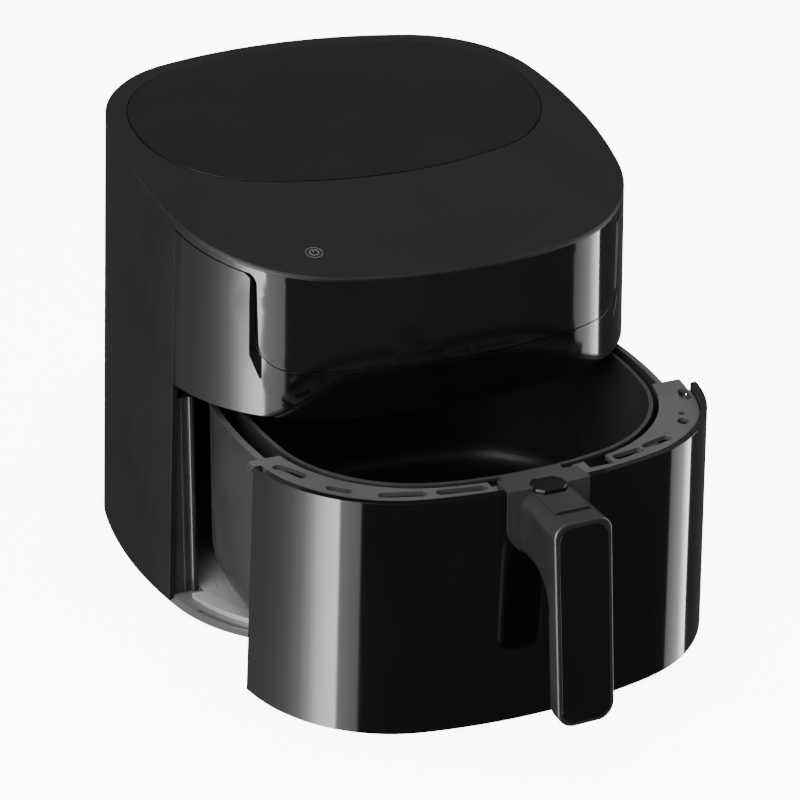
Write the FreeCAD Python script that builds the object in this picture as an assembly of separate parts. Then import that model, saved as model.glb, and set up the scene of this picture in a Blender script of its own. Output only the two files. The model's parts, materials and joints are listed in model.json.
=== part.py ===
"""Basket air fryer with its drawer pulled part of the way out.

Frame: millimetres, +Z up, +Y towards the back, +X to the right when facing the front.
The origin is on the table, under the middle of the base. The drawer's pieces are drawn
closed and then moved forward by DRAWER_OPEN, which is the rest pose.
"""

import FreeCAD
import Part
import math
import os

V = FreeCAD.Vector
X_AXIS = V(1, 0, 0)
Y_AXIS = V(0, 1, 0)
Z_AXIS = V(0, 0, 1)
FAR = 400.0

# ---- driving dimensions of the body ------------------------------------------------
FOOT = 4.0
BASE_FLARE = 7.3
DRAFT = 0.04
SKIN = 3.0
SEAM_Y = -54.2
CAP_MID_Z = 258.8
CAP_SLOPE = 0.1777
CAP_DROOP = 0.000228
CAP_RISE = 2.2
CAP_BEVEL = 0.9
INSERT_DEEP = 1.2
BAND_LOW_Z = 149.25
TRAY_TOP_Z = 6.4
SILL_OUT = 4.0
SILL_IN = 13.0
SILL_HIGH = 3.1
FLOOR_SHEET = 0.8
PILLAR_TOP_Z = 138.0
POSTS = [(147.0, -25.0), (147.0, 45.0), (66.0, 132.0)]
POST_R = 5.5
POST_BORE_R = 1.5
FOOT_PLACES = ((94, -100), (-94, -100), (100, 96), (-100, 96))
FOOT_TOP_R = 11.0
FOOT_LOW_R = 10.0
VENT_HALF = 58.0
VENT_LOW_Z = 196.0
VENT_TOP_Z = 238.0
GLAND_Z = 44.0
GLAND_R = 7.0
CORD_R = 3.6

# plan outlines: half width, front and back reach, then the radii of the arcs
BODY = dict(a=150.0, front=140.3, back=141.1, r_front=331.0, r_back=317.0, r_side=324.0,
            y_side=8.8, c_front=93.5, c_back=84.0)
INSERT = dict(a=131.0, front=40.5, back=126.0, r_front=275.0, r_back=305.0, r_side=300.0,
              y_side=46.0, c_front=72.0, c_back=72.0)
BASKET = dict(a=118.5, front=110.5, back=112.0, r_front=230.0, r_back=260.0, r_side=300.0,
              y_side=6.0, c_front=86.0, c_back=78.0)

# ---- driving dimensions of the visor and its surround -------------------------------
VISOR_HALF = 113.5
VISOR_LOW_Z = 178.3
VISOR_CORNER = 15.0
VISOR_STRIP = 3.4
VISOR_GAP = 0.55
VISOR_SHOULDER = 9.0
SHOULDER_Y = -93.5
BEVEL_WIDE = 3.8
BEVEL_DEEP = 2.2
BEVEL_LEAN = 0.025
BEVEL_MID_Z = 225.0
BEVEL_TIP = 6.0
BEVEL_RISE = 9.0
BEVEL_TOP = 4.0
POWER_X = -77.3
POWER_Y = -104.0
POWER_RING_R = 4.9
POWER_SIGN_R = 2.9

# ---- driving dimensions of the drawer ----------------------------------------------
DRAWER_OPEN = 112.7
PANEL_INSET = 5.76
PANEL_THICK = 4.0
PANEL_LOW_Z = 6.8
PANEL_TOP_Z = 148.5
PANEL_END_Y = -54.6
NOTCH_HALF = 25.5
NOTCH_LOW_Z = 107.5
NOTCH_RADIUS = 21.0
PAN_GAP = 10.5
PAN_LOW_Z = 13.5
PAN_TOP_Z = 141.0
PAN_WALL = 1.5
PAN_CORNER = 30.0
PAN_RIM = 2.2
BASKET_LOW_Z = 32.0
BASKET_TOP_Z = 144.0
BASKET_WALL = 1.2
BASKET_CORNER = 18.0
BASKET_RIM = 1.2
FRAME_LOW_Z = 141.2
FRAME_TOP_Z = 144.0
FRAME_FLOOR_Z = 138.4
FRAME_FLOOR = 1.0
SKIRT_LOW_Z = 126.0
SKIRT_THICK = 2.0
SKIRT_SCREW_Z = 133.0
SKIRT_SCREW_X = (-66, -42, 42, 66)
HOLE_R = 3.2
HOLE_PITCH = 17.0
BUMPER_R = 5.0

# slots in the collar: the two end centres and the width
SLOTS = [(-124, -52.5, -116, -66, 6.5), (-107, -85.5, -100, -92.5, 5.0),
         (-84, -104, -64, -110.5, 6.0), (-54, -113, -31, -117.3, 5.6),
         (54.5, -113.3, 69, -111.0, 6.0), (76, -108.0, 91, -103.8, 6.0),
         (110.2, -89.6, 111, -88.4, 6.4), (114.8, -80.8, 115.2, -80.2, 3.6),
         (130.3, -55.5, 128, -62.5, 7.0)]

# ---- driving dimensions of the handle ----------------------------------------------
NECK_HALF = 17.3
NECK_TOP_Z = 146.0
NECK_LOW_Z = 110.0
GRIP_TOP_Y = -174.3
GRIP_LOW_Y = -190.3
GRIP_LOW_Z = 28.5
GRIP_DEEP = 14.0
GRIP_BACK_R = 6.0
GRIP_FRONT_R = 1.6
MOUNT_FRONT_Y = -136.0
BRIDGE_LOW_Z = 144.3
BRIDGE_BACK_Y = -121.0
BRIDGE_HALF = 24.5
TAB_HALF = 18.5
TAB_TOP_Z = 145.6
TAB_LOW_Z = 122.0
TAB_SCREW_X = (-12, 12)
TAB_SCREW_Z = 132.0
NECK_SCREWS = [(0.0, 115.5), (-13.0, 130.0), (13.0, 130.0)]
NECK_PILOT_R = 1.5
BUTTON_HALF = 9.5
BUTTON_TOP_Z = 148.8
BUTTON_CORNER = 3.6
CAP_LOW_Z = 145.1
WELL_X = -4.6
WELL_Y = -129.4
WELL_R = 3.4
WELL_LOW_Z = 129.0
POCKET_LOW_Z = 142.4
POCKET_HALF = 10.0
POCKET_BACK_Y = -126.6
POCKET_FRONT_Y = -141.5
LATCH_Y = -127.0
LATCH_Z = 130.0
LATCH_X0 = 1.4
LATCH_X1 = 6.6
LATCH_PIN_R = 1.2
INLAY_HALF = 14.8
INLAY_LOW_Z = 31.5
INLAY_TOP_Z = 143.0
INLAY_DEEP = 1.4
COVER_HALF = 10.8
COVER_DEEP = 1.4
COVER_BACK_Y = -136.3
COVER_FRONT_Y = -162.3
COVER_GAP = 0.9

# ---- driving dimensions of the heating unit ----------------------------------------
CHAMBER_LOW_Z = 151.0
CHAMBER_TOP_Z = 198.0
CHAMBER_OUT = 9.0
CHAMBER_CORNER = 14.0
CHAMBER_WALL = 1.0
GUARD_Z = 158.0
GUARD_WIRE = 1.2
GUARD_RADII = (20.0, 40.0, 60.0, 80.0, 100.0)
HEATER_Z = 167.0
HEATER_RADII = (58.0, 76.0, 94.0)
HEATER_TUBE = 3.2
HEATER_LEGS = [(-14.0, 94.0), (14.0, 94.0)]
PROBE_X = -100.0
PROBE_R = 2.5
HOT_FAN_Z = 178.0
COOL_FAN_Z = 203.0
MOTOR_Z = 216.0
MOTOR_HIGH = 22.0
MOTOR_R = 27.0
MOTOR_WALL = 1.2
BUSH_R = 6.5
SHAFT_R = 3.0
SHAFT_PLAY = 0.05
BRACKET_REACH = 67.0

# ---- driving dimensions of the electrics --------------------------------------------
PLUNGER_X = 138.4
PLUNGER_Z = 118.0
PLUNGER_R = 1.7
PLUNGER_LONG = 9.0
SWITCH_FRONT_Y = -47.6
BOARD_Z = 206.0
BOARD_THICK = 1.6
BOARD_POSTS = ((-108, -44), (-56, -44), (-108, 40), (-56, 40))


# ---- helpers -------------------------------------------------------------------------
def circle_meet(c0, r0, c1, r1):
    """The crossing of two circles that lies furthest to the right."""
    dx = c1[0] - c0[0]
    dy = c1[1] - c0[1]
    d = math.hypot(dx, dy)
    along = (r0 * r0 - r1 * r1 + d * d) / (2 * d)
    high = math.sqrt(r0 * r0 - along * along)
    px = c0[0] + along * dx / d
    py = c0[1] + along * dy / d
    left = (px - high * dy / d, py + high * dx / d)
    right = (px + high * dy / d, py - high * dx / d)
    return max(left, right)


def toward(centre, target, radius):
    """The point at a radius from a centre, on the line to a target."""
    dx = target[0] - centre[0]
    dy = target[1] - centre[1]
    d = math.hypot(dx, dy)
    return (centre[0] + radius * dx / d, centre[1] + radius * dy / d)


def arc_edge(centre, radius, p0, p1, z):
    """The short arc about a centre from p0 to p1."""
    mid = toward(centre, ((p0[0] + p1[0]) / 2, (p0[1] + p1[1]) / 2), radius)
    return Part.Arc(V(p0[0], p0[1], z), V(mid[0], mid[1], z), V(p1[0], p1[1], z)).toShape()


def front_corner(plan):
    """The centre of the plan's right front corner arc."""
    f = (0.0, plan["r_front"] - plan["front"])
    s = (plan["a"] - plan["r_side"], plan["y_side"])
    return circle_meet(f, plan["r_front"] - plan["c_front"], s, plan["r_side"] - plan["c_front"])


def outline(plan, inset, z):
    """A closed plan outline of eight tangent arcs, moved inward by inset, at height z."""
    f = (0.0, plan["r_front"] - plan["front"])
    b = (0.0, plan["back"] - plan["r_back"])
    s = (plan["a"] - plan["r_side"], plan["y_side"])
    cf = front_corner(plan)
    cb = circle_meet(b, plan["r_back"] - plan["c_back"], s, plan["r_side"] - plan["c_back"])
    p1 = toward(f, cf, plan["r_front"] - inset)
    p2 = toward(s, cf, plan["r_side"] - inset)
    p3 = toward(s, cb, plan["r_side"] - inset)
    p4 = toward(b, cb, plan["r_back"] - inset)

    def flip(p):
        return (-p[0], p[1])

    edges = [
        arc_edge(f, plan["r_front"] - inset, flip(p1), p1, z),
        arc_edge(cf, plan["c_front"] - inset, p1, p2, z),
        arc_edge(s, plan["r_side"] - inset, p2, p3, z),
        arc_edge(cb, plan["c_back"] - inset, p3, p4, z),
        arc_edge(b, plan["r_back"] - inset, p4, flip(p4), z),
        arc_edge(flip(cb), plan["c_back"] - inset, flip(p4), flip(p3), z),
        arc_edge(flip(s), plan["r_side"] - inset, flip(p3), flip(p2), z),
        arc_edge(flip(cf), plan["c_front"] - inset, flip(p2), flip(p1), z),
    ]
    return Part.Wire(edges)


def prism(plan, inset, z0, z1):
    """An upright block with a plan outline."""
    return Part.Face(outline(plan, inset, z0)).extrude(V(0, 0, z1 - z0))


def flare(z):
    """Inward offset of the body's drafted wall at height z."""
    return DRAFT * (z - FOOT) - BASE_FLARE


def body_block(extra, z0, z1):
    """The body's drafted block, moved inward by extra."""
    low = outline(BODY, flare(z0) + extra, z0)
    high = outline(BODY, flare(z1) + extra, z1)
    return Part.makeLoft([low, high], True, True)


def body_shell(outer, inner, z0, z1):
    """The drafted wall between two inward offsets."""
    return body_block(outer, z0, z1).cut(body_block(inner, z0 - 1, z1 + 1))


def cap_z(y):
    """Height of the cap's lower edge above the table."""
    return CAP_MID_Z + CAP_SLOPE * y - CAP_DROOP * y * y


def under_cap(drop):
    """Everything below the cap's gently curved edge surface, lowered by drop."""
    reach = 200.0
    p0, pm, p1 = [V(-reach, y, cap_z(y) - drop) for y in (-reach, 0.0, reach)]
    low0 = V(-reach, -reach, -50)
    low1 = V(-reach, reach, -50)
    edges = [Part.Arc(p0, pm, p1).toShape(), Part.makeLine(p1, low1),
             Part.makeLine(low1, low0), Part.makeLine(low0, p0)]
    return Part.Face(Part.Wire(edges)).extrude(V(2 * reach, 0, 0))


def box(x0, x1, y0, y1, z0, z1):
    return Part.makeBox(x1 - x0, y1 - y0, z1 - z0, V(x0, y0, z0))


def tube(radius, height, base, axis=Z_AXIS):
    return Part.makeCylinder(radius, height, base, axis)


def ring(outer, inner, height, base, axis=Z_AXIS):
    return tube(outer, height, base, axis).cut(tube(inner, height, base, axis))


def rounded_rect(half, z0, z1, r_low, r_high, y):
    """An upright outline in the XZ plane with its own lower and upper corner radii."""
    k = math.sqrt(0.5)
    lo = r_low
    hi = r_high
    p = [V(-half + lo, y, z0), V(half - lo, y, z0), V(half, y, z0 + lo), V(half, y, z1 - hi),
         V(half - hi, y, z1), V(-half + hi, y, z1), V(-half, y, z1 - hi), V(-half, y, z0 + lo)]
    edges = [Part.makeLine(p[0], p[1])]
    edges.append(Part.Arc(p[1], V(half - lo + lo * k, y, z0 + lo - lo * k), p[2]).toShape())
    edges.append(Part.makeLine(p[2], p[3]))
    edges.append(Part.Arc(p[3], V(half - hi + hi * k, y, z1 - hi + hi * k), p[4]).toShape())
    edges.append(Part.makeLine(p[4], p[5]))
    edges.append(Part.Arc(p[5], V(-half + hi - hi * k, y, z1 - hi + hi * k), p[6]).toShape())
    edges.append(Part.makeLine(p[6], p[7]))
    edges.append(Part.Arc(p[7], V(-half + lo - lo * k, y, z0 + lo - lo * k), p[0]).toShape())
    return Part.Wire(edges)


def front_prism(half, z0, z1, r_low, r_high):
    """A block through the front half of the body with a rounded upright outline."""
    return Part.Face(rounded_rect(half, z0, z1, r_low, r_high, -FAR)).extrude(V(0, FAR - 60, 0))


def slot(x0, y0, x1, y1, width, z0, z1):
    """An upright slot with round ends from one centre to the other."""
    dx = x1 - x0
    dy = y1 - y0
    length = math.hypot(dx, dy)
    middle = Part.makeBox(length, width, z1 - z0, V(0, -width / 2, z0))
    middle.rotate(V(0, 0, 0), Z_AXIS, math.degrees(math.atan2(dy, dx)))
    middle.translate(V(x0, y0, 0))
    ends = [tube(width / 2, z1 - z0, V(x, y, z0)) for x, y in ((x0, y0), (x1, y1))]
    return middle.fuse(ends).removeSplitter()


def mirrored(shape):
    return shape.mirror(V(0, 0, 0), X_AXIS)


def polygon_prism(points, z0, z1):
    """An upright block over a plan polygon."""
    corners = [V(x, y, z0) for x, y in points]
    return Part.Face(Part.makePolygon(corners + [corners[0]])).extrude(V(0, 0, z1 - z0))


def octagon(half, y0, y1, corner, z0, z1):
    """An upright block across the middle with its four corners cut off."""
    right = [(half - corner, y0), (half, y0 + corner), (half, y1 - corner), (half - corner, y1)]
    return polygon_prism(right + [(-x, y) for x, y in reversed(right)], z0, z1)


def fillet_where(shape, radius, test):
    """Round the edges whose centre of mass passes the test."""
    return shape.makeFillet(radius, [e for e in shape.Edges if test(e)])


def screw(x, y, z, length, r_shank, r_head, head_high, axis=Z_AXIS):
    """A pan-head screw with its head's outer face at the given point, going along axis."""
    head = tube(r_head, head_high, V(x, y, z), axis)
    shank = tube(r_shank, length, V(x, y, z), axis)
    return head.fuse(shank)


def route(points, radius):
    """A wire along straight runs, with a ball at each bend."""
    pieces = []
    for p, q in zip(points, points[1:]):
        pieces.append(Part.makeCylinder(radius, (q - p).Length, p, q - p))
    for p in points[1:-1]:
        pieces.append(Part.makeSphere(radius, p))
    return pieces[0].fuse(pieces[1:])


def spring(x, y, z, coil_r, wire_r, height, turns):
    """A round-wire compression spring standing on z."""
    helix = Part.makeHelix((height - 2 * wire_r) / turns, height - 2 * wire_r, coil_r)
    section = Part.Wire(Part.makeCircle(wire_r, V(coil_r, 0, 0), Y_AXIS))
    coil = Part.Wire(helix).makePipeShell([section], True, True)
    coil.translate(V(x, y, z + wire_r))
    return coil


# ---- casing --------------------------------------------------------------------------
def make_outer_housing():
    wall = body_shell(0, SKIN, FOOT, 300).common(under_cap(0))
    wall = wall.cut(box(-FAR, FAR, -FAR, SEAM_Y, -1, FAR))
    for x, y in POSTS:
        for side in (-1, 1):
            post = tube(POST_R, 22, V(side * x, y, 8))
            wall = wall.fuse(post.common(body_block(0.5, FOOT, 300)))
            wall = wall.cut(tube(POST_BORE_R, 18, V(side * x, y, 8)))
    vent = Part.Face(rounded_rect(VENT_HALF, VENT_LOW_Z, VENT_TOP_Z, 6, 6, 60))
    wall = wall.cut(vent.extrude(V(0, FAR, 0)))
    wall = wall.cut(tube(GLAND_R + 0.2, 60, V(0, 110, GLAND_Z), Y_AXIS))
    return wall


def make_base_tray():
    low = outline(BODY, -BASE_FLARE, FOOT)
    high = outline(BODY, -BASE_FLARE + 4.0, TRAY_TOP_Z)
    front = Part.makeLoft([low, high], True, True)
    front = front.common(box(-FAR, FAR, -FAR, SEAM_Y - 0.3, 0, 50))
    rear = prism(BODY, -BASE_FLARE + SKIN + 0.5, FOOT, TRAY_TOP_Z)
    tray = front.fuse(rear).removeSplitter()
    groove = prism(BODY, -3.2, TRAY_TOP_Z - 1.4, 20).cut(prism(BODY, -0.4, 0, 30))
    groove = groove.common(box(-FAR, FAR, -FAR, -76, 0, 50))
    groove = groove.cut(box(-112, 112, -FAR, 0, 0, 50))
    tray = tray.cut(groove)
    for x, y in POSTS:
        for side in (-1, 1):
            tray = tray.cut(tube(1.8, 20, V(side * x, y, 0)))
            tray = tray.cut(tube(3.6, 1.4, V(side * x, y, FOOT)))
    return tray


def make_front_sill():
    sill = prism(BODY, SILL_OUT, TRAY_TOP_Z, TRAY_TOP_Z + SILL_HIGH).cut(prism(BODY, SILL_IN, 0, 30))
    return sill.common(box(-FAR, FAR, -FAR, -60, 0, 50))


def make_cavity_floor():
    top = TRAY_TOP_Z + FLOOR_SHEET
    front = prism(BODY, SILL_IN + 1.6, TRAY_TOP_Z, top)
    rear = prism(BODY, 9.0, TRAY_TOP_Z, top).common(box(-FAR, FAR, -40, FAR, 0, 50))
    plate = front.fuse(rear).removeSplitter()
    return plate.cut([box(-FAR, -130, -58, -40, 0, 50), box(130, FAR, -58, -40, 0, 50)])


def make_cavity_liner():
    """A sheet wall round the back and both sides of the drawer's space."""
    def space(inset, z0, z1):
        half = BASKET["a"] - inset
        return prism(BASKET, inset, z0, z1).fuse(box(-half, half, -70, BASKET["y_side"], z0, z1))

    wall = space(-15.8, TRAY_TOP_Z + FLOOR_SHEET, PILLAR_TOP_Z).cut(space(-15.0, 0, 200))
    return wall.common(box(-FAR, FAR, -46, FAR, 0, 200))


def make_front_pillars():
    outer = body_block(SKIN, TRAY_TOP_Z, PILLAR_TOP_Z)
    web = outer.common(box(132.0, FAR, -52, -48, TRAY_TOP_Z, PILLAR_TOP_Z))
    bead = tube(1.7, PILLAR_TOP_Z - TRAY_TOP_Z, V(134.2, -52, TRAY_TOP_Z))
    rib = box(139.2, 140.4, -53, -51, TRAY_TOP_Z, PILLAR_TOP_Z)
    pillar = web.fuse([bead, rib]).removeSplitter()
    bored = pillar.cut(tube(PLUNGER_R + SHAFT_PLAY, 20, V(PLUNGER_X, -60, PLUNGER_Z), Y_AXIS))
    return Part.makeCompound([bored, mirrored(pillar)])


def make_rubber_feet():
    feet = [Part.makeCone(FOOT_LOW_R, FOOT_TOP_R, FOOT, V(x, y, 0)) for x, y in FOOT_PLACES]
    return Part.makeCompound(feet)


def make_base_screws():
    screws = [screw(s * x, y, FOOT + 0.2, 16, 1.45, 3.3, 1.1) for x, y in POSTS for s in (-1, 1)]
    return Part.makeCompound(screws)


# ---- upper front ---------------------------------------------------------------------
def shoulder(x_edge, z_top, radius):
    """The hollow rounding where the visor's side runs out into its thin top strip."""
    corner = box(x_edge - 0.5, x_edge + radius, -FAR, -60, z_top - radius, z_top + 30)
    return corner.cut(tube(radius, FAR, V(x_edge + radius, -FAR, z_top - radius), Y_AXIS))


def side_bevel():
    """A slanting cut that leads the band's face down to the visor's right side and runs out below it."""
    cx, cy = front_corner(BODY)
    radius = BODY["c_front"] - flare(BEVEL_MID_Z)
    x = VISOR_HALF + VISOR_GAP
    nx = (x - cx) / radius
    ny = -math.sqrt(1 - nx * nx)
    y = cy + radius * ny
    out = V(nx, ny, 0)
    along = V(-ny, nx, 0)
    slope = (along * BEVEL_WIDE + out * BEVEL_DEEP) * 2.0
    tip = (VISOR_LOW_Z - BEVEL_TIP, BEVEL_DEEP * 2.0)
    full = (VISOR_LOW_Z + BEVEL_RISE, 0.0)
    top = (cap_z(SHOULDER_Y) - BEVEL_TOP, 0.0)
    sections = []
    for z, lift in (tip, full, top):
        rim = V(x, y, z) + out * (BEVEL_LEAN * (BEVEL_MID_Z - z) + lift) + along * BEVEL_WIDE
        root = rim - slope
        corners = [root, rim, rim + out * 8, root + out * 8]
        sections.append(Part.makePolygon(corners + [corners[0]]))
    return Part.makeLoft(sections, True, True)


def make_upper_front_band():
    edge = VISOR_HALF + VISOR_GAP
    z_top = cap_z(SHOULDER_Y) - VISOR_STRIP - 0.3
    band = body_shell(0, SKIN, BAND_LOW_Z, 300).common(under_cap(VISOR_STRIP + 0.7))
    band = band.common(box(-FAR, FAR, -FAR, SEAM_Y - 0.35, 0, FAR))
    opening = front_prism(edge, VISOR_LOW_Z - VISOR_GAP, 330, VISOR_CORNER + VISOR_GAP, 1)
    bend = shoulder(edge, z_top, VISOR_SHOULDER + 3.0)
    return band.cut([opening, bend, mirrored(bend), side_bevel(), mirrored(side_bevel())])


def make_control_visor():
    z_top = cap_z(SHOULDER_Y) - VISOR_STRIP
    skin = body_shell(0.1, SKIN, 160, 300).common(under_cap(0.0))
    skin = skin.common(box(-FAR, FAR, -FAR, SEAM_Y - 0.35, 0, FAR))
    face = front_prism(VISOR_HALF, VISOR_LOW_Z, 330, VISOR_CORNER, 1)
    bend = shoulder(VISOR_HALF, z_top, VISOR_SHOULDER)
    face = face.fuse([bend, mirrored(bend)])
    strip = skin.cut(under_cap(VISOR_STRIP))
    return skin.common(face).fuse(strip).removeSplitter()


def make_top_cap():
    cap = body_block(0, 200, 300).common(under_cap(-CAP_RISE)).cut(under_cap(0))

    def on_top_rim(edge):
        c = edge.CenterOfMass
        return edge.Length > 40 and c.z > cap_z(c.y) + CAP_RISE / 2

    cap = cap.makeChamfer(CAP_BEVEL, [e for e in cap.Edges if on_top_rim(e)])
    return cap.cut(prism(INSERT, 0, 200, 330).cut(under_cap(-CAP_RISE + INSERT_DEEP)))


def make_top_insert():
    plate = prism(INSERT, 0.7, 200, 330).common(under_cap(-CAP_RISE - 0.25))
    return plate.cut(under_cap(-CAP_RISE + INSERT_DEEP))


def make_power_symbol():
    """A raised ring, a broken ring inside it and a short bar, printed on the cap's front."""
    z0 = 200.0
    outer = ring(POWER_RING_R, POWER_RING_R - 0.3, 100, V(POWER_X, POWER_Y, z0))
    inner = ring(POWER_SIGN_R, POWER_SIGN_R - 0.6, 100, V(POWER_X, POWER_Y, z0))
    inner = inner.cut(box(POWER_X - 1.2, POWER_X + 1.2, POWER_Y, POWER_Y + 8, z0, z0 + 100))
    bar = box(POWER_X - 0.3, POWER_X + 0.3, POWER_Y + 0.5, POWER_Y + 3.5, z0, z0 + 100)
    skin = under_cap(-CAP_RISE - 0.12).cut(under_cap(-CAP_RISE))
    return Part.makeCompound([outer.common(skin), inner.common(skin), bar.common(skin)])


# ---- heating unit ----------------------------------------------------------------------
def make_heating_chamber():
    z_in = CHAMBER_TOP_Z - CHAMBER_WALL
    outer = prism(BASKET, -CHAMBER_OUT, CHAMBER_LOW_Z, CHAMBER_TOP_Z)
    outer = fillet_where(outer, CHAMBER_CORNER, lambda e: e.CenterOfMass.z > CHAMBER_TOP_Z - 0.1)
    inner = prism(BASKET, CHAMBER_WALL - CHAMBER_OUT, CHAMBER_LOW_Z - 1, z_in)
    inner = fillet_where(inner, CHAMBER_CORNER - CHAMBER_WALL, lambda e: e.CenterOfMass.z > z_in - 0.1)
    hood = outer.cut(inner)
    hood = hood.cut(tube(SHAFT_R + 2.5, 20, V(0, 0, CHAMBER_TOP_Z - 10)))
    hood = hood.cut(box(-30, 30, 90, 140, 172, 186))
    for x, y in HEATER_LEGS:
        hood = hood.cut(tube(HEATER_TUBE + 0.2, 20, V(x, y, CHAMBER_TOP_Z - 10)))
    hood = hood.cut(tube(PROBE_R + 0.2, 20, V(PROBE_X, 0, CHAMBER_TOP_Z - 10)))
    return hood


def make_heater_coil():
    rings = [Part.makeTorus(r, HEATER_TUBE, V(0, 0, HEATER_Z)) for r in HEATER_RADII]
    links = [tube(HEATER_TUBE - 0.3, 18, V(-r, 0, HEATER_Z), -X_AXIS) for r in HEATER_RADII[:-1]]
    legs = [tube(HEATER_TUBE - 0.2, 46, V(x, y, HEATER_Z)) for x, y in HEATER_LEGS]
    return rings[0].fuse(rings[1:] + links + legs)


def make_heater_clips():
    clips = []
    for k in range(3):
        bar = box(52, 100, -4, 4, HEATER_Z + HEATER_TUBE + 0.1, HEATER_Z + HEATER_TUBE + 1.3)
        stem = box(98.8, 100, -4, 4, HEATER_Z + HEATER_TUBE + 0.1, CHAMBER_TOP_Z - 1)
        clip = bar.fuse(stem)
        clip.rotate(V(0, 0, 0), Z_AXIS, 120 * k - 30)
        clips.append(clip)
    return Part.makeCompound(clips)


def make_food_guard():
    loops = [Part.makeTorus(r, GUARD_WIRE, V(0, 0, GUARD_Z)) for r in GUARD_RADII]
    bars = []
    for k in range(3):
        bar = tube(GUARD_WIRE, 212, V(-106, 0, GUARD_Z - 0.4), X_AXIS)
        bar.rotate(V(0, 0, 0), Z_AXIS, 60 * k + 15)
        bars.append(bar)
    return loops[0].fuse(loops[1:] + bars)


def make_guard_hangers():
    hangers = []
    for k in range(3):
        hanger = box(103.0, 104.4, -4, 4, GUARD_Z - 3, CHAMBER_TOP_Z - 1)
        hanger = hanger.cut(tube(GUARD_WIRE, 10, V(100, 0, GUARD_Z - 0.4), X_AXIS))
        hanger.rotate(V(0, 0, 0), Z_AXIS, 120 * k + 15)
        hangers.append(hanger)
    return Part.makeCompound(hangers)


def fan_wheel(radius, hub_r, z0, blade_high, count, bore):
    """A flat disc with upright curved blades and a bored hub."""
    disc = tube(radius * 0.62, 1.0, V(0, 0, z0))
    hub = tube(hub_r, blade_high, V(0, 0, z0))
    wheel = disc.fuse(hub)
    blades = []
    for k in range(count):
        blade = box(hub_r - 1, radius, -0.6, 0.6, z0, z0 + blade_high)
        blade.rotate(V(hub_r, 0, 0), Z_AXIS, 18)
        blade.rotate(V(0, 0, 0), Z_AXIS, 360.0 * k / count)
        blades.append(blade)
    wheel = wheel.fuse(blades).removeSplitter()
    return wheel.cut(tube(bore, 60, V(0, 0, z0 - 20)))


def make_hot_air_fan():
    return fan_wheel(48.0, 8.0, HOT_FAN_Z, 12.0, 10, SHAFT_R)


def make_cooling_fan():
    return fan_wheel(44.0, 7.0, COOL_FAN_Z, 7.0, 12, SHAFT_R)


def make_motor_shaft():
    z0 = HOT_FAN_Z - 6.0
    return tube(SHAFT_R, MOTOR_Z + MOTOR_HIGH + 2.0 - z0, V(0, 0, z0))


def make_fan_nut():
    turns = [math.radians(60 * k) for k in range(6)]
    nut = polygon_prism([(5.5 * math.cos(a), 5.5 * math.sin(a)) for a in turns], HOT_FAN_Z - 4.5, HOT_FAN_Z)
    return nut.cut(tube(SHAFT_R, 20, V(0, 0, HOT_FAN_Z - 8)))


def make_motor_rotor():
    body = tube(13.0, MOTOR_HIGH - 9, V(0, 0, MOTOR_Z + 4.5))
    return body.cut(tube(SHAFT_R, 60, V(0, 0, MOTOR_Z - 10)))


def make_motor_stator():
    return ring(MOTOR_R - MOTOR_WALL, 13.5, MOTOR_HIGH - 10, V(0, 0, MOTOR_Z + 5))


def make_motor_can():
    can = tube(MOTOR_R, MOTOR_HIGH, V(0, 0, MOTOR_Z))
    can = can.cut(tube(MOTOR_R - MOTOR_WALL, MOTOR_HIGH - 2 * MOTOR_WALL, V(0, 0, MOTOR_Z + MOTOR_WALL)))
    can = can.cut(tube(BUSH_R, 60, V(0, 0, MOTOR_Z - 10)))
    for k in range(6):
        vent = box(12, 21, -2, 2, MOTOR_Z - 1, MOTOR_Z + 3)
        vent.rotate(V(0, 0, 0), Z_AXIS, 60 * k + 30)
        can = can.cut(vent)
    return can


def make_motor_bearings():
    bearings = []
    for z in (MOTOR_Z - 0.6, MOTOR_Z + MOTOR_HIGH - 2.4):
        bearings.append(ring(BUSH_R, SHAFT_R + SHAFT_PLAY, 3.0, V(0, 0, z)))
    return Part.makeCompound(bearings)


def make_motor_bracket():
    z_plate = MOTOR_Z - 2.0
    plate = ring(34, 9.0, 2.0, V(0, 0, z_plate))
    arms = []
    for k in range(3):
        arm = box(28, 62, -6, 6, z_plate, z_plate + 2)
        leg = box(60, 62, -6, 6, CHAMBER_TOP_Z, z_plate + 2)
        foot = box(60, 72, -6, 6, CHAMBER_TOP_Z, CHAMBER_TOP_Z + 1.5)
        foot = foot.cut(tube(1.7, 10, V(BRACKET_REACH, 0, CHAMBER_TOP_Z - 4)))
        piece = arm.fuse([leg, foot])
        piece.rotate(V(0, 0, 0), Z_AXIS, 120 * k)
        arms.append(piece)
    return plate.fuse(arms).removeSplitter()


def make_motor_screws():
    screws = []
    for k in range(3):
        piece = screw(BRACKET_REACH, 0, CHAMBER_TOP_Z + 3.1, 3.1, 1.6, 3.2, 1.6, -Z_AXIS)
        piece.rotate(V(0, 0, 0), Z_AXIS, 120 * k)
        screws.append(piece)
    return Part.makeCompound(screws)


# ---- electrics -------------------------------------------------------------------------
def make_interlock_switch():
    case = box(PLUNGER_X - 3.2, PLUNGER_X + 3.2, SWITCH_FRONT_Y, SWITCH_FRONT_Y + 13,
               PLUNGER_Z - 10, PLUNGER_Z + 10)
    well = tube(PLUNGER_R + SHAFT_PLAY, PLUNGER_LONG, V(PLUNGER_X, SWITCH_FRONT_Y, PLUNGER_Z), Y_AXIS)
    case = case.cut(well)
    for z in (PLUNGER_Z - 7, PLUNGER_Z, PLUNGER_Z + 7):
        case = case.fuse(box(PLUNGER_X - 1.6, PLUNGER_X + 1.6, SWITCH_FRONT_Y + 12.5,
                             SWITCH_FRONT_Y + 18, z - 0.4, z + 0.4))
    return case


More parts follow.
